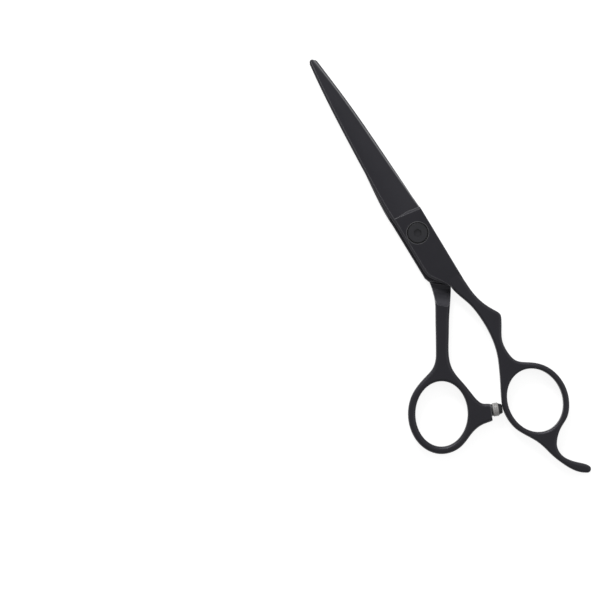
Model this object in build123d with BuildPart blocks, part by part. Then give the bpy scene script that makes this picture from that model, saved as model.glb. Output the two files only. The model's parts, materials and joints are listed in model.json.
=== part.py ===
"""Hair cutting shears: two forged halves, their adjustable pivot and the bumper between the rings.

The shears lie flat and closed. The origin is on the pivot axis, at the surface they lie on.
+Y runs along the blades to the tip, +X to the side of the finger ring, +Z up.
The finger half is the upper one, and the thumb half turns beneath it. Sizes are in millimetres.
"""

import os
from math import cos, radians, sin

from build123d import *

os.makedirs("parts", exist_ok=True)

# ---------------------------------------------------------------- heights
blade_thickness = 2.55  # each half, at the pivot
ride_gap = 0.10  # between the two halves' inner faces
ring_thickness = 5.0  # handles and rings, along Z
thumb_ride_z = blade_thickness
finger_ride_z = thumb_ride_z + ride_gap
finger_top_z = finger_ride_z + blade_thickness
mid_z = ring_thickness / 2
through = 40.0  # length of a cut that passes right through

# ---------------------------------------------------------------- blades
blade_reach = 69.3  # pivot axis to the finger half's tip
tip_stagger = 0.5  # the thumb half's tip stands this much behind
tip_radius = 0.98
finger_tip_x = -0.42  # middle of each round tip
thumb_tip_x = 0.12
heel_y = 8.9  # the pivot plates end here at the spine side of the finger half
heel_low_y = 7.3  # and here at its edge side
blade_start_y = 6.0  # where each blade grows out of its pivot plate
facet_width = 0.75  # sloped facet along each spine, and step at the heel
hollow_depth = 0.12  # hollow grinding of the inner face
crown_rise = 0.16  # bulge of the outer face
edge_thickness = 0.34  # of the blade where its cutting bevel starts
bevel_width = 0.55

# Each blade's stations: share of the blade, spine x, edge x, thickness at the spine.
finger_stations = (
    (0.00, -5.00, 5.30, 2.50),
    (0.22, -5.05, 4.35, 2.40),
    (0.48, -4.25, 3.40, 2.10),
    (0.74, -3.15, 2.30, 1.75),
    (0.92, -2.05, 1.10, 1.45),
    (1.00, -1.45, 0.55, 1.25),
)
thumb_stations = (
    (0.00, 5.05, -5.90, 2.50),
    (0.22, 4.60, -5.45, 2.40),
    (0.48, 3.85, -3.85, 2.10),
    (0.74, 2.75, -2.75, 1.75),
    (0.92, 1.60, -1.60, 1.45),
    (1.00, 1.10, -0.85, 1.25),
)

# ---------------------------------------------------------------- handles
finger_edge_round = 0.9  # rounding of the handles' outer edges
finger_hole_round = 0.8  # rounding of the ring holes' edges
thumb_edge_round = 1.1
thumb_hole_round = 1.0
plate_edge_round = 0.3

finger_hole_width = 18.6
finger_hole_length = 22.2
finger_wall = 2.0
finger_tilt = 7.6  # of the hole's long axis, clockwise from +Y
finger_hole_x = 4.66
finger_hole_top_y = -58.45
finger_centre_y = finger_hole_top_y - finger_hole_length / 2
rest_y = finger_centre_y - finger_hole_length / 2  # the finger rest hangs from here
swell_start_y = -23.2  # where the finger shank starts to reach below the ride plane
swell_length = 10.8
bend_start_y = -14.0  # where the finger half's face starts to bend down
bend_length = 13.0
bend_drop = 1.28
relief_origin = (-3.3, -20.4, 0)  # foot of the thumb shank's rise
relief_angle = -129.6  # from +X, of the direction in which it rises
relief_z = 1.6

rest_tip_x = 7.65  # middle of the finger rest's round end
rest_tip_drop = -18.05
rest_tip_radius = 1.33

thumb_hole_width = 17.9
thumb_hole_length = 22.3
thumb_wall = 2.5
thumb_tilt = 31.3
thumb_centre_x = -25.0
thumb_centre_y = -57.0

# ---------------------------------------------------------------- pivot
head_diameter = 6.7
head_height = 0.95
head_proud = 0.05  # of the finger half's face
head_chamfer = 0.15
shank_chamfer = 0.25
head_gap = 0.4  # round the head, in its counterbore
shank_diameter = 4.0
running_clearance = 0.04  # radial, round the screw's shank
key_across_flats = 2.5
key_depth = 0.65
washer_thickness = 0.25
washer_margin = 0.15  # washers are this much smaller in radius than the head's counterbore
spring_thickness = 0.2
spring_rise = 0.25  # height of the spring's cone
bush_wall = 0.55
nut_wall = 0.7
nut_flange_diameter = 7.2
nut_flange_height = 0.55
nut_end_wall = 0.7  # closed end of the nut, on which the shears rest
thread_engagement = 1.7
glide_outer_diameter = 9.0
glide_wall_gap = 0.2  # round the glide washer, in its recess
glide_recess = 0.3
glide_running = 0.03  # under the finger half

counterbore_diameter = head_diameter + 2 * head_gap
washer_diameter = counterbore_diameter - 2 * washer_margin
shank_bore = shank_diameter + 2 * running_clearance
bush_diameter = shank_bore + 2 * bush_wall
nut_diameter = shank_bore + 2 * nut_wall
head_top_z = finger_top_z + head_proud
head_base_z = head_top_z - head_height
washer_base_z = head_base_z - washer_thickness
counterbore_z = washer_base_z - spring_thickness - spring_rise
glide_inner_diameter = nut_diameter + 2 * glide_wall_gap
glide_base_z = thumb_ride_z - glide_recess
glide_top_z = finger_ride_z - glide_running
nut_top_z = glide_base_z + glide_recess / 2
shank_end_z = nut_top_z - thread_engagement

# ---------------------------------------------------------------- bumper
bumper_angle = -22.6  # of its axis, from +X
boss_face_x = -9.95
boss_face_y = -64.65
neck_diameter = 4.1
neck_length = 0.6
collar_diameter = 4.7
collar_length = 2.0
collar_round = 0.45
stud_diameter = 1.8
stud_depth = 3.4  # into the boss
tip_base_diameter = 3.9
tip_end_diameter = 2.3
bumper_tip_length = 1.3
bumper_tip_round = 0.5
stud_in_tip = 0.6


def ring_point(centre, width, length, tilt, angle):
    """Point of an ellipse whose long axis is tilted clockwise from +Y, at an angle round it from its top."""
    along = length / 2 * cos(radians(angle))
    across = -width / 2 * sin(radians(angle))
    return (
        centre[0] + along * sin(radians(tilt)) + across * cos(radians(tilt)),
        centre[1] + along * cos(radians(tilt)) - across * sin(radians(tilt)),
    )


def blade_loft(stations, reach, ride_z, side):
    """Lofts a blade through its stations. Side is 1 for a blade above its ride plane and -1 for one below."""
    sections = []
    for share, spine_x, edge_x, thickness in stations:
        y = blade_start_y + share * (reach - blade_start_y)
        inward = 1 if edge_x > spine_x else -1
        facet_x = spine_x + inward * facet_width
        bevel_x = edge_x - inward * bevel_width
        top = side * thickness
        edge_top = side * edge_thickness
        shoulder = side * (thickness - facet_width)
        middle = ((facet_x + bevel_x) / 2, (top + edge_top) / 2 + side * crown_rise * thickness)
        hollow = ((spine_x + edge_x) / 2, side * hollow_depth)
        with BuildSketch(Plane(origin=(0, y, ride_z), x_dir=(1, 0, 0), z_dir=(0, -1, 0))) as section:
            with BuildLine():
                Line((spine_x, 0), (spine_x, shoulder))
                Line((spine_x, shoulder), (facet_x, top))
                ThreePointArc((facet_x, top), middle, (bevel_x, edge_top))
                Line((bevel_x, edge_top), (edge_x, 0))
                ThreePointArc((edge_x, 0), hollow, (spine_x, 0))
            make_face()
        sections.append(section.sketch)
    loft(sections)


def tip_limit(centre_x, reach):
    """Keeps what lies inside the blade's outline with its round tip."""
    with BuildSketch(Plane.XY) as outline:
        with Locations((centre_x, reach - tip_radius)):
            Circle(tip_radius)
        with Locations((0, (reach - tip_radius) / 2)):
            Rectangle(through, reach - tip_radius)
    extrude(outline.sketch, amount=2 * finger_top_z, both=True, mode=Mode.INTERSECT)


def round_handle(edge_round, hole_round):
    """Rounds the outer edges and the hole's edges of a handle that has just been extruded."""
    for level in (Axis.Z, -Axis.Z):
        face = faces().sort_by(level)[-1]
        fillet(face.outer_wire().edges(), edge_round)
    for level in (Axis.Z, -Axis.Z):
        face = faces().sort_by(level)[-1]
        fillet(face.inner_wires()[0].edges(), hole_round)


# ---------------------------------------------------------------- finger half
finger_centre = (finger_hole_x, finger_centre_y)
finger_ring_width = finger_hole_width + 2 * finger_wall
finger_ring_length = finger_hole_length + 2 * finger_wall


def finger_ring(angle):
    """Point of the finger ring's outline."""
    return ring_point(finger_centre, finger_ring_width, finger_ring_length, finger_tilt, angle)


shank_inner = [(2.6, -17.2), (0.9, -18.2), (0.2, -20.5), (0.4, -23.2), (1.2, -26.0), (2.55, -30.0), (3.3, -35.0)]
shank_inner += [(3.35, -41.0), (2.7, -46.0), (1.5, -50.2), (-0.2, -54.0), (-2.2, -58.0)]
ring_inner = [finger_ring(angle) for angle in (62, 81, 100, 119, 136)]
rest_offsets = [(-2.3, -0.8), (-1.0, -4.25), (-0.05, -8.05), (1.15, -11.4), (2.6, -14.5)]
rest_offsets += [(4.4, -17.1)]
rest_offsets += [
    (rest_tip_x + rest_tip_radius * cos(radians(angle)), rest_tip_drop + rest_tip_radius * sin(radians(angle)))
    for angle in (-133, -90, -45, 0, 40)
]
rest_offsets += [(7.4, -15.7), (5.8, -14.2), (4.3, -12.5), (3.1, -10.5), (2.6, -8.3)]
rest_offsets += [(2.95, -6.1), (4.15, -4.2)]
rest_line = [(x, rest_y + y) for x, y in rest_offsets]
ring_outer = [finger_ring(angle) for angle in (202, 222, 242, 262, 282, 302, 321)]
web_line = [(9.7, -57.45), (7.5, -55.95), (5.95, -54.2), (5.3, -52.0)]
shank_outer = [(5.15, -49.5), (5.6, -46.4), (6.8, -43.9), (8.1, -41.8), (9.15, -40.0), (9.72, -38.4)]
shank_outer += [(9.15, -36.7), (7.9, -34.5), (6.55, -31.4), (5.7, -28.0), (5.35, -24.5), (5.1, -20.5)]
shank_outer += [(4.3, -18.2)]

with BuildPart() as finger_handle:
    with BuildSketch(Plane.XY):
        with BuildLine():
            Spline(*shank_inner, *ring_inner, *rest_line, *ring_outer, *web_line, *shank_outer, periodic=True)
        make_face()
        with Locations(Location(finger_centre, -finger_tilt)):
            Ellipse(finger_hole_width / 2, finger_hole_length / 2, mode=Mode.SUBTRACT)
    extrude(amount=ring_thickness)
    round_handle(finger_edge_round, finger_hole_round)
    # Below the ride plane the handle starts clear of the thumb half, and swells to its full thickness.
    swell_start = (swell_start_y, finger_ride_z)
    swell_end = (swell_start_y - swell_length, -1)
    swell_middle = (swell_start_y - 0.35 * swell_length, 0.66 * finger_ride_z)
    with BuildSketch(Plane.YZ):
        with BuildLine():
            Polyline((through, -1), (through, finger_ride_z), swell_start)
            Spline(swell_start, swell_middle, swell_end, tangents=((-1, 0), (-1, -0.25)))
            Line(swell_end, (through, -1))
        make_face()
    extrude(amount=through, both=True, mode=Mode.SUBTRACT)

with BuildPart() as finger_plate:
    with BuildSketch(Plane.XY.offset(finger_ride_z)):
        with BuildLine():
            Line((-5.0, heel_y), (-5.0, -12.6))
            Spline((-5.0, -12.6), (-4.45, -14.8), (-2.6, -17.6), tangents=((0, -1), (0.56, -0.83)))
            Line((-2.6, -17.6), (0.3, -21.9))
            Line((0.3, -21.9), (1.9, -26.0))
            Line((1.9, -26.0), (5.2, -26.0))
            Line((5.2, -26.0), (5.3, heel_low_y))
            Line((5.3, heel_low_y), (-5.0, heel_y))
        make_face()
    extrude(amount=blade_thickness)
    top_edges = faces().sort_by(Axis.Z)[-1].edges()
    chamfer([*top_edges.sort_by(Axis.X)[0:3], top_edges.sort_by(Axis.Y)[-1]], facet_width)
    fillet(faces().sort_by(Axis.Z)[-1].edges().sort_by(Axis.X)[-1], plate_edge_round)
    # The face bends down towards the shank.
    bend_start = (bend_start_y, finger_top_z)
    bend_end = (bend_start_y - bend_length, finger_top_z - bend_drop)
    with BuildSketch(Plane.YZ):
        with BuildLine():
            TangentArc(bend_start, bend_end, tangent=(-1, 0))
            Polyline(bend_end, (bend_end[0], finger_top_z + 1), (bend_start_y, finger_top_z + 1), bend_start)
        make_face()
    extrude(amount=through, both=True, mode=Mode.SUBTRACT)

with BuildPart() as finger_blade:
    blade_loft(finger_stations, blade_reach, finger_ride_z, 1)
    tip_limit(finger_tip_x, blade_reach)
    add(finger_plate.part)
    add(finger_handle.part)
    with Locations(Location((0, 0, finger_top_z))):
        CounterBoreHole(bush_diameter / 2, counterbore_diameter / 2, finger_top_z - counterbore_z, through)
finger_blade.part.label = "finger_blade"

# ---------------------------------------------------------------- thumb half
thumb_centre = (thumb_centre_x, thumb_centre_y)
thumb_ring_width = thumb_hole_width + 2 * thumb_wall
thumb_ring_length = thumb_hole_length + 2 * thumb_wall


def thumb_ring(angle):
    """Point of the thumb ring's outline."""
    return ring_point(thumb_centre, thumb_ring_width, thumb_ring_length, thumb_tilt, angle)


thumb_outer = [(-3.4, -13.8), (-4.9, -15.2), (-5.3, -17.2), (-5.85, -19.6), (-6.95, -22.9), (-8.5, -25.8)]
thumb_outer += [(-10.6, -29.3), (-12.8, -33.1), (-15.05, -36.9), (-17.2, -40.2), (-19.6, -42.2), (-22.5, -43.2)]
thumb_round = [thumb_ring(angle) for angle in range(45, 236, 19)]
boss_line = [(-18.9, -67.75), (-16.3, -67.3), (-13.7, -67.5), (-11.2, -67.9), (-8.7, -66.8)]
boss_line += [(-7.9, -64.3), (-9.3, -62.5), (-11.2, -61.2), (-12.15, -59.2), (-12.6, -56.5)]
thumb_inner = [(-13.2, -52.0), (-13.8, -48.6), (-13.85, -45.2), (-13.0, -42.2), (-11.2, -38.8)]
thumb_inner += [(-8.9, -35.2), (-6.2, -30.9), (-3.4, -26.9), (-0.9, -23.4), (0.9, -20.3), (1.4, -16.8), (-0.6, -14.0)]
relief_along = (cos(radians(relief_angle)), sin(radians(relief_angle)), 0)
relief_across = (sin(radians(relief_angle)), -cos(radians(relief_angle)), 0)
relief_plane = Plane(relief_origin, x_dir=relief_along, z_dir=relief_across)
rise_end = (6.2, ring_thickness + 0.2)
boss_direction = (cos(radians(bumper_angle)), sin(radians(bumper_angle)), 0)
boss_plane = Plane((boss_face_x, boss_face_y, mid_z), x_dir=(0, 0, 1), z_dir=boss_direction)

with BuildPart() as thumb_handle:
    with BuildSketch(Plane.XY):
        with BuildLine():
            Spline(*thumb_outer, *thumb_round, *boss_line, *thumb_inner, periodic=True)
        make_face()
        with Locations(Location(thumb_centre, -thumb_tilt)):
            Ellipse(thumb_hole_width / 2, thumb_hole_length / 2, mode=Mode.SUBTRACT)
    extrude(amount=ring_thickness)
    round_handle(thumb_edge_round, thumb_hole_round)
    with BuildSketch(boss_plane):
        Rectangle(ring_thickness * 2, ring_thickness * 2)
    extrude(amount=ring_thickness, mode=Mode.SUBTRACT)

with BuildPart() as thumb_plate:
    with BuildSketch(Plane.XY):
        with BuildLine():
            Polyline((-5.9, heel_y), (-5.9, -14.6), (-5.35, -16.2), (-3.2, -19.4), (0.4, -20.6), (3.4, -14.0))
            Polyline((3.4, -14.0), (5.0, -6.0), (5.05, heel_low_y), (-5.9, heel_y))
        make_face()
    extrude(amount=blade_thickness)
    low_edges = faces().sort_by(Axis.Z)[0].edges()
    chamfer([*low_edges.sort_by(Axis.X)[-2:], low_edges.sort_by(Axis.Y)[-1]], facet_width)

with BuildPart() as thumb_blade:
    blade_loft(thumb_stations, blade_reach - tip_stagger, thumb_ride_z, -1)
    tip_limit(thumb_tip_x, blade_reach - tip_stagger)
    add(thumb_plate.part)
    add(thumb_handle.part)
    # The ride face ends in a shallow relief, from which the shank's top rises.
    with BuildSketch(relief_plane):
        with BuildLine():
            Polyline((-through, thumb_ride_z), (-2.2, thumb_ride_z), (-1.6, relief_z + 0.1), (-0.4, relief_z))
            Spline((-0.4, relief_z), (2.6, 3.3), rise_end, tangents=((1, 0.15), (1, 0.3)))
            Polyline(rise_end, (rise_end[0], through), (-through, through), (-through, thumb_ride_z))
        make_face()
    extrude(amount=through, both=True, mode=Mode.SUBTRACT)
    with Locations(Location((0, 0, thumb_ride_z))):
        CounterBoreHole(nut_diameter / 2, glide_outer_diameter / 2 + glide_wall_gap, glide_recess, through)
    with BuildSketch(Plane.XY):
        Circle(nut_flange_diameter / 2)
    extrude(amount=nut_flange_height, mode=Mode.SUBTRACT)
    with BuildSketch(boss_plane):
        Circle(stud_diameter / 2)
    extrude(amount=-stud_depth, mode=Mode.SUBTRACT)
thumb_blade.part.label = "thumb_blade"

# ---------------------------------------------------------------- pivot pieces
with BuildPart() as pivot_screw:
    with BuildSketch(Plane.XY.offset(head_base_z)):
        Circle(head_diameter / 2)
    extrude(amount=head_height)
    chamfer(faces().sort_by(Axis.Z)[-1].edges(), head_chamfer)
    with BuildSketch(Plane.XY.offset(shank_end_z)):
        Circle(shank_diameter / 2)
    extrude(amount=head_base_z - shank_end_z)
    chamfer(faces().sort_by(Axis.Z)[0].edges(), shank_chamfer)
    with BuildSketch(Plane.XY.offset(head_top_z)):
        RegularPolygon(key_across_flats / 2, 6, major_radius=False)
    extrude(amount=-key_depth, mode=Mode.SUBTRACT)
pivot_screw.part.label = "pivot_screw"

with BuildPart() as slide_washer:
    with BuildSketch(Plane.XY.offset(washer_base_z)):
        Circle(washer_diameter / 2)
        Circle(shank_bore / 2 + washer_margin, mode=Mode.SUBTRACT)
    extrude(amount=washer_thickness)
slide_washer.part.label = "slide_washer"

with BuildPart() as disc_spring:
    inner = shank_bore / 2 + washer_margin
    outer = washer_diameter / 2
    with BuildSketch(Plane.XZ):
        with BuildLine():
            Polyline((inner, spring_rise), (outer, 0), (outer, spring_thickness))
            Polyline((outer, spring_thickness), (inner, spring_rise + spring_thickness), (inner, spring_rise))
        make_face()
    revolve(axis=Axis.Z)
disc_spring.part = disc_spring.part.moved(Location((0, 0, counterbore_z)))
disc_spring.part.label = "disc_spring"

with BuildPart() as pivot_bush:
    with BuildSketch(Plane.XY.offset(finger_ride_z)):
        Circle(bush_diameter / 2)
        Circle(shank_bore / 2, mode=Mode.SUBTRACT)
    extrude(amount=counterbore_z - finger_ride_z)
pivot_bush.part.label = "pivot_bush"

with BuildPart() as pivot_nut:
    with BuildSketch(Plane.XY):
        Circle(nut_flange_diameter / 2)
    extrude(amount=nut_flange_height)
    with BuildSketch(Plane.XY.offset(nut_flange_height)):
        Circle(nut_diameter / 2)
    extrude(amount=nut_top_z - nut_flange_height)
    with BuildSketch(Plane.XY.offset(nut_top_z)):
        Circle(shank_bore / 2)
    extrude(amount=-(nut_top_z - min(nut_end_wall, shank_end_z)), mode=Mode.SUBTRACT)
pivot_nut.part.label = "pivot_nut"

with BuildPart() as glide_washer:
    with BuildSketch(Plane.XY.offset(glide_base_z)):
        Circle(glide_outer_diameter / 2)
        Circle(glide_inner_diameter / 2, mode=Mode.SUBTRACT)
    extrude(amount=glide_top_z - glide_base_z)
glide_washer.part.label = "glide_washer"

# ---------------------------------------------------------------- bumper pieces
with BuildPart() as bumper_stud:
    with BuildSketch(boss_plane.offset(-stud_depth)):
        Circle(stud_diameter / 2)
    extrude(amount=stud_depth + neck_length + collar_length + stud_in_tip)
    with BuildSketch(boss_plane):
        Circle(neck_diameter / 2)
    extrude(amount=neck_length)
bumper_stud.part.label = "bumper_stud"

with BuildPart() as bumper_collar:
    with BuildSketch(boss_plane.offset(neck_length)):
        Circle(collar_diameter / 2)
    extrude(amount=collar_length)
    fillet(edges(), collar_round)
    with BuildSketch(boss_plane.offset(neck_length)):
        Circle(stud_diameter / 2)
    extrude(amount=collar_length, mode=Mode.SUBTRACT)
bumper_collar.part.label = "bumper_collar"

with BuildPart() as bumper_tip:
    with BuildSketch(boss_plane.offset(neck_length + collar_length)):
        Circle(tip_base_diameter / 2)
    with BuildSketch(boss_plane.offset(neck_length + collar_length + bumper_tip_length)):
        Circle(tip_end_diameter / 2)
    loft()
    fillet(faces().sort_by(Axis.X)[-1].edges(), bumper_tip_round)
    with BuildSketch(boss_plane.offset(neck_length + collar_length)):
        Circle(stud_diameter / 2)
    extrude(amount=stud_in_tip, mode=Mode.SUBTRACT)
bumper_tip.part.label = "bumper_tip"

for piece in (
    finger_blade,
    thumb_blade,
    pivot_screw,
    slide_washer,
    disc_spring,
    pivot_bush,
    pivot_nut,
    glide_washer,
    bumper_stud,
    bumper_collar,
    bumper_tip,
):
    export_step(piece.part, f"parts/{piece.part.label}.step")
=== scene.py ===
"""Looks of the hair cutting shears: finishes, bumper, studio and camera.

The shears lie flat and closed. +Y runs to the tip, +X to the finger ring's side, +Z up.
Lengths are in metres.
"""

from __future__ import annotations

import json
import logging
import math
from dataclasses import dataclass
from enum import Enum

import bmesh
import bpy
from mathutils import Matrix, Vector

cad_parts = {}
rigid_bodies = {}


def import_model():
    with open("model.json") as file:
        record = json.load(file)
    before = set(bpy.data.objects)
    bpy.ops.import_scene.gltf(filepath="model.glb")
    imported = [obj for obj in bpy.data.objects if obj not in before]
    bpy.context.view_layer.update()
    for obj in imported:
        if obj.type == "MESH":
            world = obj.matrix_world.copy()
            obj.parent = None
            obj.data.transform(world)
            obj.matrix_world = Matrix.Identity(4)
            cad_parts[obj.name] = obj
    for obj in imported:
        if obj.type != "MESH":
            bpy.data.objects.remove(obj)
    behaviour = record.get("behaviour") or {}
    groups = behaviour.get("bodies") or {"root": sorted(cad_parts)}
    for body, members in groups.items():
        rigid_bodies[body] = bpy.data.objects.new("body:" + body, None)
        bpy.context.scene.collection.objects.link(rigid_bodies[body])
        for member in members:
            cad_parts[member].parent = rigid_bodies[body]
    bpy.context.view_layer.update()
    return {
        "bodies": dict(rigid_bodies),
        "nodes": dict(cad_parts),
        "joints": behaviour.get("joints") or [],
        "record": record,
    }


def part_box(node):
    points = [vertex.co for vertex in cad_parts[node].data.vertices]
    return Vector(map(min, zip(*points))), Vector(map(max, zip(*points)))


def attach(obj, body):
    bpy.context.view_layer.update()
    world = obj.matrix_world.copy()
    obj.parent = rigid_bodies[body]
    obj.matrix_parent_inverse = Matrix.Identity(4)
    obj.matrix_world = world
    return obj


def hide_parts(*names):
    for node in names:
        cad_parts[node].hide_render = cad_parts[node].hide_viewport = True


LOG = logging.getLogger("shears")
MM = 0.001
RING_SPACING = 0.314  # metres between a Wave texture's rings at a scale of 1
MIX_FACTOR, MIX_FIRST, MIX_SECOND, MIX_RESULT = 0, 6, 7, 2  # a Mix node's sockets for colours
Colour = tuple[float, float, float]
Point = tuple[float, float, float]
Profile = list[tuple[float, float]]  # distance along the axis and radius


class Body(Enum):
    """The moving bodies a piece can ride on."""

    FINGER = "finger_half"
    THUMB = "thumb_half"
    SCREW = "tension_screw"


class Socket:
    """A node's output with arithmetic, so that shader maths reads as an expression."""

    def __init__(self, tree: bpy.types.NodeTree, link: bpy.types.NodeSocket) -> None:
        """Wraps one output.

        Args:
            tree: The tree the output belongs to.
            link: The output itself.
        """
        self.tree = tree
        self.link = link

    def maths(self, operation: str, first: object, second: object, clamp: bool = False) -> Socket:
        """Adds a Math node.

        Args:
            operation: The node's operation.
            first: A Socket or a number.
            second: A Socket or a number.
            clamp: Whether the result is kept from 0 to 1.

        Returns:
            The node's value.
        """
        node = self.tree.nodes.new("ShaderNodeMath")
        node.operation = operation
        node.use_clamp = clamp
        for index, value in enumerate((first, second)):
            if isinstance(value, Socket):
                self.tree.links.new(value.link, node.inputs[index])
            else:
                node.inputs[index].default_value = value
        return Socket(self.tree, node.outputs[0])

    def __add__(self, other: object) -> Socket:
        """Adds."""
        return self.maths("ADD", self, other)

    def __sub__(self, other: object) -> Socket:
        """Takes away."""
        return self.maths("SUBTRACT", self, other)

    def __rsub__(self, other: object) -> Socket:
        """Takes this from a number."""
        return self.maths("SUBTRACT", other, self)

    def __mul__(self, other: object) -> Socket:
        """Multiplies."""
        return self.maths("MULTIPLY", self, other)

    __radd__ = __add__
    __rmul__ = __mul__

    def clamped(self) -> Socket:
        """Keeps the value from 0 to 1."""
        return self.maths("ADD", self, 0.0, clamp=True)

    def size(self) -> Socket:
        """Drops the value's sign."""
        return self.maths("ABSOLUTE", self, 0.0)


class Nodes:
    """A node tree in which any node can be made."""

    def __init__(self, tree: bpy.types.NodeTree) -> None:
        """Keeps the tree.

        Args:
            tree: The tree that the nodes are made in.
        """
        self.tree = tree

    def node(self, kind: str, settings: dict, inputs: dict, output: object) -> Socket:
        """Makes any node.

        Args:
            kind: The node's type.
            settings: Its properties, set first.
            inputs: Values or Sockets by the input's name or number.
            output: The name or number of the output that is wanted.

        Returns:
            That output.
        """
        node = self.tree.nodes.new(kind)
        for key, value in settings.items():
            setattr(node, key, value)
        for key, value in inputs.items():
            if isinstance(value, Socket):
                self.tree.links.new(value.link, node.inputs[key])
            else:
                node.inputs[key].default_value = value
        return Socket(self.tree, node.outputs[output])

    def part(self, vector: Socket, letter: str) -> Socket:
        """One part of a vector.

        Args:
            vector: The vector.
            letter: X, Y or Z.

        Returns:
            That part.
        """
        return self.node("ShaderNodeSeparateXYZ", {}, {"Vector": vector}, letter)


class Shader(Nodes):
    """A material's node tree with its Principled shader."""

    def __init__(self, name: str) -> None:
        """Starts an empty material.

        Args:
            name: The material's name.
        """
        self.material = bpy.data.materials.new(name)
        self.material.use_nodes = True
        super().__init__(self.material.node_tree)
        self.surface = self.tree.nodes["Principled BSDF"]
        self.place = self.node("ShaderNodeTexCoord", {}, {}, "Object")

    def noise(self, scale: float, detail: float = 3.0, stretch: Point = (1, 1, 1)) -> Socket:
        """Noise on the piece's own coordinates.

        Args:
            scale: Its scale, per metre.
            detail: Its detail.
            stretch: How much each axis is stretched.

        Returns:
            Its value.
        """
        place = self.node("ShaderNodeMapping", {}, {"Vector": self.place, "Scale": stretch}, "Vector")
        inputs = {"Vector": place, "Scale": scale, "Detail": detail, "Roughness": 0.55}
        return self.node("ShaderNodeTexNoise", {}, inputs, "Fac")

    def edges(self, radius: float, gain: float) -> Socket:
        """Finds the piece's outer edges.

        Args:
            radius: How wide the band along an edge is.
            gain: How fast the band grows with the edge's angle.

        Returns:
            1 on an edge and 0 away from it.
        """
        soft = self.node("ShaderNodeBevel", {"samples": 6}, {"Radius": radius}, "Normal")
        sharp = self.node("ShaderNodeNewGeometry", {}, {}, "Normal")
        same = self.node("ShaderNodeVectorMath", {"operation": "DOT_PRODUCT"}, {0: soft, 1: sharp}, "Value")
        return ((1 - same) * gain).clamped()

    def blend(self, factor: Socket, first: object, second: object) -> Socket:
        """Blends two colours.

        Args:
            factor: 0 for the first and 1 for the second.
            first: The first colour, or a Socket that gives it.
            second: The second colour, or a Socket that gives it.

        Returns:
            The blended colour.
        """
        ends = [end if isinstance(end, Socket) else (*end, 1) for end in (first, second)]
        inputs = {MIX_FACTOR: factor, MIX_FIRST: ends[0], MIX_SECOND: ends[1]}
        return self.node("ShaderNodeMix", {"data_type": "RGBA"}, inputs, MIX_RESULT)

    def axis(self, letter: str) -> Socket:
        """One of the piece's own coordinates.

        Args:
            letter: X, Y or Z.

        Returns:
            The coordinate, in metres.
        """
        return self.part(self.place, letter)

    def bump(self, height: Socket, strength: float, distance: float) -> None:
        """Feeds a height to the surface's normal.

        Args:
            height: The height.
            strength: The bump's strength.
            distance: The height of a value of 1, in metres.
        """
        inputs = {"Height": height, "Strength": strength, "Distance": distance}
        normal = self.node("ShaderNodeBump", {}, inputs, "Normal")
        self.tree.links.new(normal.link, self.surface.inputs["Normal"])

    def feed(self, **values: object) -> None:
        """Sets or links the Principled shader's inputs.

        Args:
            **values: A number, colour or Socket for each input, with _ for a space in its name.
        """
        for key, value in values.items():
            target = self.surface.inputs[key.replace("_", " ")]
            if isinstance(value, Socket):
                self.tree.links.new(value.link, target)
            elif isinstance(value, tuple):
                target.default_value = (*value, 1)
            else:
                target.default_value = value


@dataclass(frozen=True)
class CoatedSteel:
    """Matt dark coating on forged steel, painted lighter along the edges as a rim highlight and rubbed
    coating, with a ground bevel at the cutting edge.
    """

    name: str
    bevel_z: float
    slot: str = "black_steel"
    colour: Colour = (0.0185, 0.018, 0.0225)
    # colour of the edges: a painted rim highlight, also standing for coating rubbed off along the edges
    rim_highlight_and_rub: Colour = (0.270, 0.268, 0.280)
    ground: Colour = (0.085, 0.085, 0.092)
    roughness: float = 0.34
    metallic: float = 0.55
    cloud_scale: float = 90  # noise scales are per metre
    grain_scale: float = 2600
    speckle_scale: float = 5200
    patch_scale: float = 420
    grain_stretch: Point = (1.0, 0.10, 1.0)
    bevel_height: float = 0.34 * MM
    bevel_start_y: float = 9.0 * MM
    heel_fade: float = 4000  # per metre, how fast the bevel starts past the heel
    bevel_fade: float = 60000  # per metre, how sharply the bevel ends
    # width and strength of the lighter band along the edges, which paints a rim highlight on the coated
    # steel
    light_edge_radius: float = 0.50 * MM
    light_edge_gain: float = 3.2
    light_gain: float = 1.6  # the coating's lightest patches against its colour
    bump_depth: float = 0.03 * MM

    def material(self) -> bpy.types.Material:
        """Makes the material."""
        shader = Shader(self.name)
        clouds = shader.noise(self.cloud_scale, 4)
        grain = shader.noise(self.grain_scale, 2, self.grain_stretch)
        speckle = shader.noise(self.speckle_scale, 2)
        edge = shader.edges(self.light_edge_radius, self.light_edge_gain)
        # lighter edges, broken up by noise: a painted rim highlight, partly standing for rubbed coating
        rim_highlight_and_rub_mask = (edge * (0.55 + 0.6 * shader.noise(self.patch_scale, 3))).clamped()
        middle = (shader.axis("Z") - self.bevel_z).size()
        past_heel = ((shader.axis("Y") - self.bevel_start_y) * self.heel_fade).clamped()
        bevel = ((0.5 * self.bevel_height - middle) * self.bevel_fade).clamped() * past_heel
        tone = (0.55 * clouds + 0.25 * speckle + 0.1).clamped()
        base = shader.blend(tone, self.colour, tuple(self.light_gain * level for level in self.colour))
        base = shader.blend(bevel * (0.7 + 0.3 * grain), base, self.ground)
        # the edges take the painted rim highlight colour
        base = shader.blend(rim_highlight_and_rub_mask, base, self.rim_highlight_and_rub)
        shader.feed(
            Base_Color=base,
            Metallic=self.metallic,
            Roughness=(self.roughness + 0.16 * grain + 0.10 * (clouds - 0.5) - 0.06 * bevel).clamped(),
            Specular_IOR_Level=0.45,
        )
        shader.bump(0.6 * grain + 0.4 * speckle, 0.10, self.bump_depth)
        return shader.material


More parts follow.
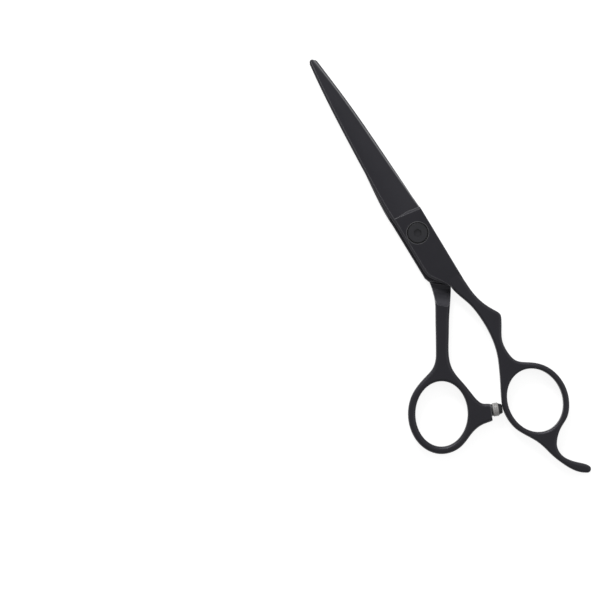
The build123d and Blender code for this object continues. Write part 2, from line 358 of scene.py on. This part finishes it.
@dataclass(frozen=True)
class TurnedMetal:
    """Metal turned on a lathe, with fine rings round the pivot axis."""

    name: str
    slot: str
    colour: Colour
    roughness: float
    metallic: float = 1.0
    ring_pitch: float = 0.12 * MM
    cloud_scale: float = 400
    # width and strength of the lighter band along the edges
    light_edge_radius: float = 0.12 * MM
    light_edge_gain: float = 1.6
    light_gain: float = 1.7
    bump_depth: float = 0.012 * MM

    def material(self) -> bpy.types.Material:
        """Makes the material."""
        shader = Shader(self.name)
        settings = {"wave_type": "RINGS", "rings_direction": "Z", "wave_profile": "SIN"}
        scale = RING_SPACING / self.ring_pitch
        inputs = {"Vector": shader.place, "Scale": scale, "Distortion": 0.4, "Detail": 2.0}
        rings = shader.node("ShaderNodeTexWave", settings, inputs, "Fac")
        clouds = shader.noise(self.cloud_scale, 3)
        edge = shader.edges(self.light_edge_radius, self.light_edge_gain)
        # the edges are made lighter by the edge mask
        tone = (0.35 * clouds + 0.15 * rings + 0.5 * edge).clamped()
        light = tuple(min(1.0, self.light_gain * level) for level in self.colour)
        shader.feed(
            Base_Color=shader.blend(tone, self.colour, light),
            Metallic=self.metallic,
            Roughness=(self.roughness + 0.12 * rings + 0.12 * (clouds - 0.5)).clamped(),
        )
        shader.bump(rings, 0.12, self.bump_depth)
        return shader.material


@dataclass(frozen=True)
class Moulded:
    """Moulded plastic or rubber with a fine grain."""

    name: str
    slot: str
    colour: Colour
    roughness: float
    grain_scale: float = 2600
    cloud_scale: float = 260
    light_gain: float = 1.25
    bump_depth: float = 0.03 * MM

    def material(self) -> bpy.types.Material:
        """Makes the material."""
        shader = Shader(self.name)
        clouds = shader.noise(self.cloud_scale, 3)
        grain = shader.noise(self.grain_scale, 3)
        tone = (0.6 * clouds + 0.3 * grain).clamped()
        light = tuple(min(1.0, self.light_gain * level) for level in self.colour)
        shader.feed(
            Base_Color=shader.blend(tone, self.colour, light),
            Roughness=(self.roughness + 0.15 * (grain - 0.5)).clamped(),
        )
        shader.bump(grain, 0.15, self.bump_depth)
        return shader.material


Finish = CoatedSteel | TurnedMetal | Moulded


@dataclass
class Forging:
    """One forged half, or any piece whose shape is kept, dressed in its finish."""

    node: str
    finish: Finish

    def dress(self, frame: dict) -> None:
        """Gives the node its finish.

        Args:
            frame: The loaded frame.
        """
        piece = frame["nodes"][self.node]
        piece.data.materials.clear()
        piece.data.materials.append(self.finish.material())
        LOG.info("dressed %s", self.node)


@dataclass
class Bumper:
    """The grey collar and the rubber tip that stop the thumb ring at the finger ring."""

    angle: float = math.radians(-22.6)
    collar_length: float = 2.0 * MM
    tip_length: float = 1.32 * MM
    bore: float = 0.9 * MM
    collar_corner: float = 0.42 * MM
    groove: float = 0.13 * MM
    groove_offset: float = 0.28 * MM  # of each groove's middle from the collar's middle
    groove_mouth: float = 0.12 * MM  # half of a groove's width at its mouth
    groove_floor: float = 0.05 * MM  # and at its floor
    tip_corner: float = 0.62 * MM
    tip_share: float = 0.56  # of the tip's radius, at its rounded end
    tip_flat_share: float = 0.3
    tip_crown: float = 0.02 * MM
    skirt_length: float = 0.22 * MM
    skirt_run: float = 0.1 * MM
    skirt_drop: float = 0.12 * MM
    corner_steps: int = 6
    steps: int = 72
    sharp_angle: float = math.radians(48)

    def turned(self, name: str, profile: Profile, centre: Vector) -> bpy.types.Object:
        """Spins a profile round the bumper's axis.

        Args:
            name: The piece's name.
            profile: Pairs of distance along the axis and radius, from one end to the other.
            centre: The point where the distance is nought.

        Returns:
            The new piece.
        """
        shape = bmesh.new()
        points = [shape.verts.new((along, radius, 0)) for along, radius in profile]
        rim = [shape.edges.new(pair) for pair in zip(points, points[1:])]
        bmesh.ops.spin(
            shape,
            geom=points + rim,
            cent=(0, 0, 0),
            axis=(1, 0, 0),
            angle=math.tau,
            steps=self.steps,
            use_merge=True,
        )
        bmesh.ops.remove_doubles(shape, verts=shape.verts, dist=0.001 * MM)
        bmesh.ops.recalc_face_normals(shape, faces=shape.faces)
        turn = Matrix.Translation(centre) @ Matrix.Rotation(self.angle, 4, "Z")
        bmesh.ops.transform(shape, matrix=turn, verts=shape.verts)
        mesh = bpy.data.meshes.new(name)
        shape.to_mesh(mesh)
        shape.free()
        mesh.shade_smooth()
        mesh.set_sharp_from_angle(angle=self.sharp_angle)
        piece = bpy.data.objects.new(name, mesh)
        bpy.context.scene.collection.objects.link(piece)
        return piece

    def arc(self, along: float, radius: float, size: float, start: float, end: float) -> Profile:
        """Points of a rounded corner.

        Args:
            along: The corner's centre along the axis.
            radius: The corner's centre from the axis.
            size: The corner's radius.
            start: Its first angle in degrees.
            end: Its last angle in degrees.

        Returns:
            Pairs for a profile.
        """
        shares = [step / self.corner_steps for step in range(self.corner_steps + 1)]
        turns = [math.radians(start + (end - start) * share) for share in shares]
        return [(along + size * math.cos(turn), radius + size * math.sin(turn)) for turn in turns]

    def collar_profile(self, radius: float) -> Profile:
        """The collar's profile, with two grooves.

        Args:
            radius: The collar's outer radius.

        Returns:
            The profile, round its bore too.
        """
        half = self.collar_length / 2
        corner = self.collar_corner
        profile = [(-half, self.bore)]
        profile += self.arc(-half + corner, radius - corner, corner, 180, 90)
        for middle in (-self.groove_offset, self.groove_offset):
            profile += [
                (middle - self.groove_mouth, radius),
                (middle - self.groove_floor, radius - self.groove),
                (middle + self.groove_floor, radius - self.groove),
                (middle + self.groove_mouth, radius),
            ]
        profile += self.arc(half - corner, radius - corner, corner, 90, 0)
        profile += [(half, self.bore), (-half, self.bore)]
        return profile

    def tip_profile(self, base: float) -> Profile:
        """The tip's profile: a short skirt, a cone and a rounded end.

        Args:
            base: The tip's radius at the collar.

        Returns:
            The profile, from the stud to the tip's end.
        """
        end = self.tip_share * base
        profile = [(0, self.bore), (0, base), (self.skirt_length, base)]
        profile += [(self.skirt_length + self.skirt_run, base - self.skirt_drop)]
        profile += self.arc(self.tip_length - self.tip_corner, end, self.tip_corner, 62, 0)
        profile += [(self.tip_length, self.tip_flat_share * end), (self.tip_length + self.tip_crown, 0)]
        return profile

    def build(self, finishes: dict[str, Finish]) -> None:
        """Builds both pieces in the places of their CAD nodes.

        Args:
            finishes: The finish of each node.
        """
        low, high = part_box("bumper_collar")
        centre = (low + high) / 2
        collar = self.turned("bumper_collar_turned", self.collar_profile((high.z - low.z) / 2), centre)
        tip_low, tip_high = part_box("bumper_tip")
        axis = Vector((math.cos(self.angle), math.sin(self.angle), 0))
        seat = centre + self.collar_length / 2 * axis
        tip = self.turned("bumper_tip_moulded", self.tip_profile((tip_high.z - tip_low.z) / 2), seat)
        for piece, node in ((collar, "bumper_collar"), (tip, "bumper_tip")):
            piece.data.materials.append(finishes[node].material())
            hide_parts(node)
            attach(piece, Body.THUMB.value)
            LOG.info("built %s", piece.name)


@dataclass(frozen=True)
class Lamp:
    """A soft square lamp."""

    name: str
    place: Point
    size: float
    power: float


@dataclass
class Studio:
    """Floor, lamps, surroundings and camera."""

    centre: tuple[float, float] = (-46.1 * MM, 1.27 * MM)
    frame_width: float = 205.0 * MM
    turn: float = math.radians(-31.27)
    height: float = 1.4
    sensor: float = 36.0
    floor_drop: float = 0.02 * MM
    floor_size: float = 3.0
    floor_colour: Colour = (0.90, 0.90, 0.90)
    floor_glow: float = 0.62  # share of the floor's own white where it is seen or mirrored
    floor_white: float = 1.36
    sky: float = 0.62
    sky_level: float = 0.94
    sky_tilt: Point = (0.20, 0.22, -0.12)  # how the sky lightens along each axis
    lamps: tuple[Lamp, ...] = (
        Lamp("key", (0.20, 0.85, 0.55), 0.40, 7.5),
        Lamp("fill", (0.9, -0.4, 0.9), 0.8, 1.4),
    )

    def camera(self) -> None:
        """Places the camera straight above, turned as the shears are seen."""
        data = bpy.data.cameras.new("camera")
        data.sensor_width = self.sensor
        data.lens = self.sensor * self.height / self.frame_width
        data.clip_start = 0.01
        data.clip_end = 20
        camera = bpy.data.objects.new("camera", data)
        camera.location = (*self.centre, self.height)
        camera.rotation_euler = (0, 0, self.turn)
        bpy.context.scene.collection.objects.link(camera)
        bpy.context.scene.camera = camera

    def floor(self) -> None:
        """Makes the pale floor, which keeps the shears' shadow."""
        shape = bmesh.new()
        bmesh.ops.create_grid(shape, x_segments=1, y_segments=1, size=self.floor_size)
        bmesh.ops.translate(shape, verts=shape.verts, vec=(0, 0, -self.floor_drop))
        mesh = bpy.data.meshes.new("floor")
        shape.to_mesh(mesh)
        shape.free()
        floor = bpy.data.objects.new("floor", mesh)
        bpy.context.scene.collection.objects.link(floor)
        shader = Shader("pale_floor")
        shader.feed(Base_Color=self.floor_colour, Roughness=0.9, Specular_IOR_Level=0.1)
        seen = shader.node("ShaderNodeLightPath", {}, {}, "Is Camera Ray")
        glossy = shader.node("ShaderNodeLightPath", {}, {}, "Is Glossy Ray")
        light = {"Color": (1, 1, 1, 1), "Strength": self.floor_white}
        white = shader.node("ShaderNodeEmission", {}, light, "Emission")
        plain = Socket(shader.tree, shader.surface.outputs["BSDF"])
        share = ((seen + glossy) * self.floor_glow).clamped()
        mixed = shader.node("ShaderNodeMixShader", {}, {0: share, 1: plain, 2: white}, "Shader")
        shader.tree.links.new(mixed.link, shader.tree.nodes["Material Output"].inputs["Surface"])
        mesh.materials.append(shader.material)

    def light(self, lamp: Lamp) -> None:
        """Adds a lamp that points at the shears.

        Args:
            lamp: Its name, place, side and power in watts.
        """
        data = bpy.data.lights.new(lamp.name, "AREA")
        data.shape = "SQUARE"
        data.size = lamp.size
        data.energy = lamp.power
        stand = bpy.data.objects.new(lamp.name, data)
        stand.location = lamp.place
        aim = Vector((*self.centre, 0)) - Vector(lamp.place)
        stand.rotation_euler = aim.to_track_quat("-Z", "Y").to_euler()
        bpy.context.scene.collection.objects.link(stand)

    def surroundings(self) -> None:
        """Makes a pale world, darker overhead, so that dark steel shows its shape."""
        world = bpy.data.worlds.new("surroundings")
        bpy.context.scene.world = world
        world.use_nodes = True
        nodes = Nodes(world.node_tree)
        direction = nodes.node("ShaderNodeTexCoord", {}, {}, "Generated")
        level = self.sky_level
        for letter, tilt in zip("XYZ", self.sky_tilt):
            level = level + tilt * nodes.part(direction, letter)
        level = level.clamped()
        channels = {"Red": level, "Green": level, "Blue": level}
        grey = nodes.node("ShaderNodeCombineColor", {}, channels, "Color")
        background = nodes.tree.nodes["Background"]
        nodes.tree.links.new(grey.link, background.inputs["Color"])
        background.inputs["Strength"].default_value = self.sky

    def build(self) -> None:
        """Sets up the whole studio."""
        scene = bpy.context.scene
        scene.view_settings.view_transform = "Standard"
        self.camera()
        self.floor()
        self.surroundings()
        for lamp in self.lamps:
            self.light(lamp)


FINISHES: dict[str, Finish] = {
    "pivot_screw": TurnedMetal("screw_head", "screw_black", (0.030, 0.030, 0.034), 0.34, 0.6),
    "pivot_nut": TurnedMetal("pivot_nut", "nut_steel", (0.36, 0.36, 0.37), 0.25),
    "disc_spring": TurnedMetal("disc_spring", "spring_steel", (0.45, 0.45, 0.46), 0.25),
    "pivot_bush": TurnedMetal("bush", "bush_brass", (0.62, 0.45, 0.20), 0.3),
    "slide_washer": Moulded("slide_acetal", "washer_nylon", (0.03, 0.03, 0.032), 0.45),
    "glide_washer": Moulded("glide_acetal", "washer_nylon", (0.03, 0.03, 0.032), 0.45),
    "bumper_stud": TurnedMetal("stud", "stud_black", (0.03, 0.03, 0.032), 0.4, 0.6),
    "bumper_collar": Moulded("collar_grey", "collar_grey", (0.27, 0.265, 0.26), 0.42),
    "bumper_tip": Moulded("tip_rubber", "tip_rubber", (0.014, 0.014, 0.016), 0.6),
}


def main() -> None:
    """Builds the looks of the shears."""
    logging.basicConfig(level=logging.INFO, format="%(message)s")
    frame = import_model()
    Studio().build()
    ride_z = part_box("glide_washer")[1].z
    half_bevel = CoatedSteel.bevel_height / 2
    finishes = {
        "finger_blade": CoatedSteel("upper_coated_steel", ride_z + half_bevel),
        "thumb_blade": CoatedSteel("lower_coated_steel", ride_z - half_bevel),
        **FINISHES,
    }
    for node, finish in finishes.items():
        Forging(node, finish).dress(frame)
    Bumper().build(finishes)


if __name__ == "__main__":
    main()
